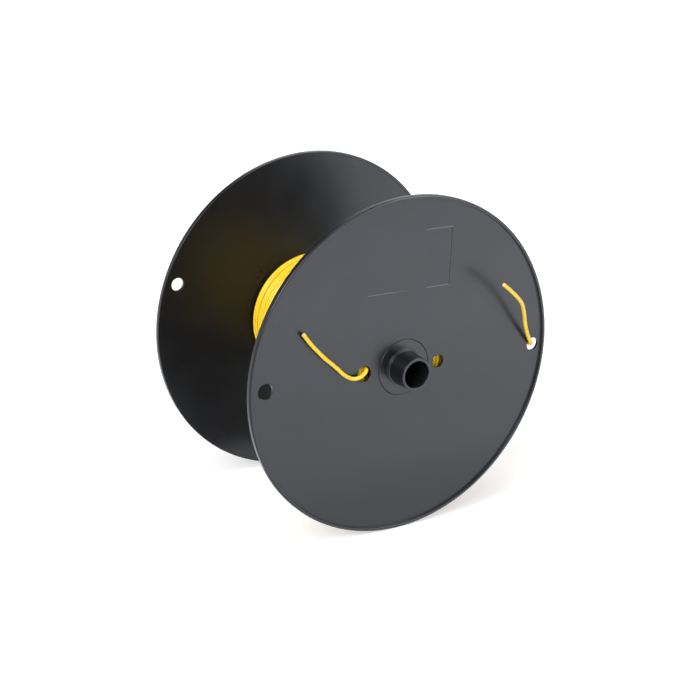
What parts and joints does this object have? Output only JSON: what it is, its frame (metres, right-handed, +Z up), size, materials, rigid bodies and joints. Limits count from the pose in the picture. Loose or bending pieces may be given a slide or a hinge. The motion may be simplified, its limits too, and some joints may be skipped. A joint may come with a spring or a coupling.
{
  "type": "wire spool",
  "caption": "Moulded plastic spool with two thin round flanges, a bored hub boss on each side and insulated wire wound on its barrel.",
  "frame": {"origin": "middle of the spool on its axis, halfway between the two flanges", "axes": "+Y along the spool's axis from the front flange to the rear one, +Z up, +X to the right as seen from the front"},
  "size_m": [0.2, 0.1444, 0.2],
  "materials": {
    "flange_plastic": "satin moulded, fine grain",
    "hub_plastic": "satin moulded",
    "barrel_plastic": "satin moulded",
    "wire_insulation": "smooth extruded",
    "wire_copper": "cut tinned copper strands"
  },
  "bodies": {
    "root": {"front_flange": "flange_plastic", "rear_flange": "flange_plastic", "front_hub": "hub_plastic", "rear_hub": "hub_plastic", "barrel": "barrel_plastic", "inner_layers": "wire_insulation", "outer_layer": "wire_insulation", "start_tail": "wire_insulation", "finish_tail": "wire_insulation", "start_conductor": "wire_copper", "finish_conductor": "wire_copper"}
  },
  "joints": []
}
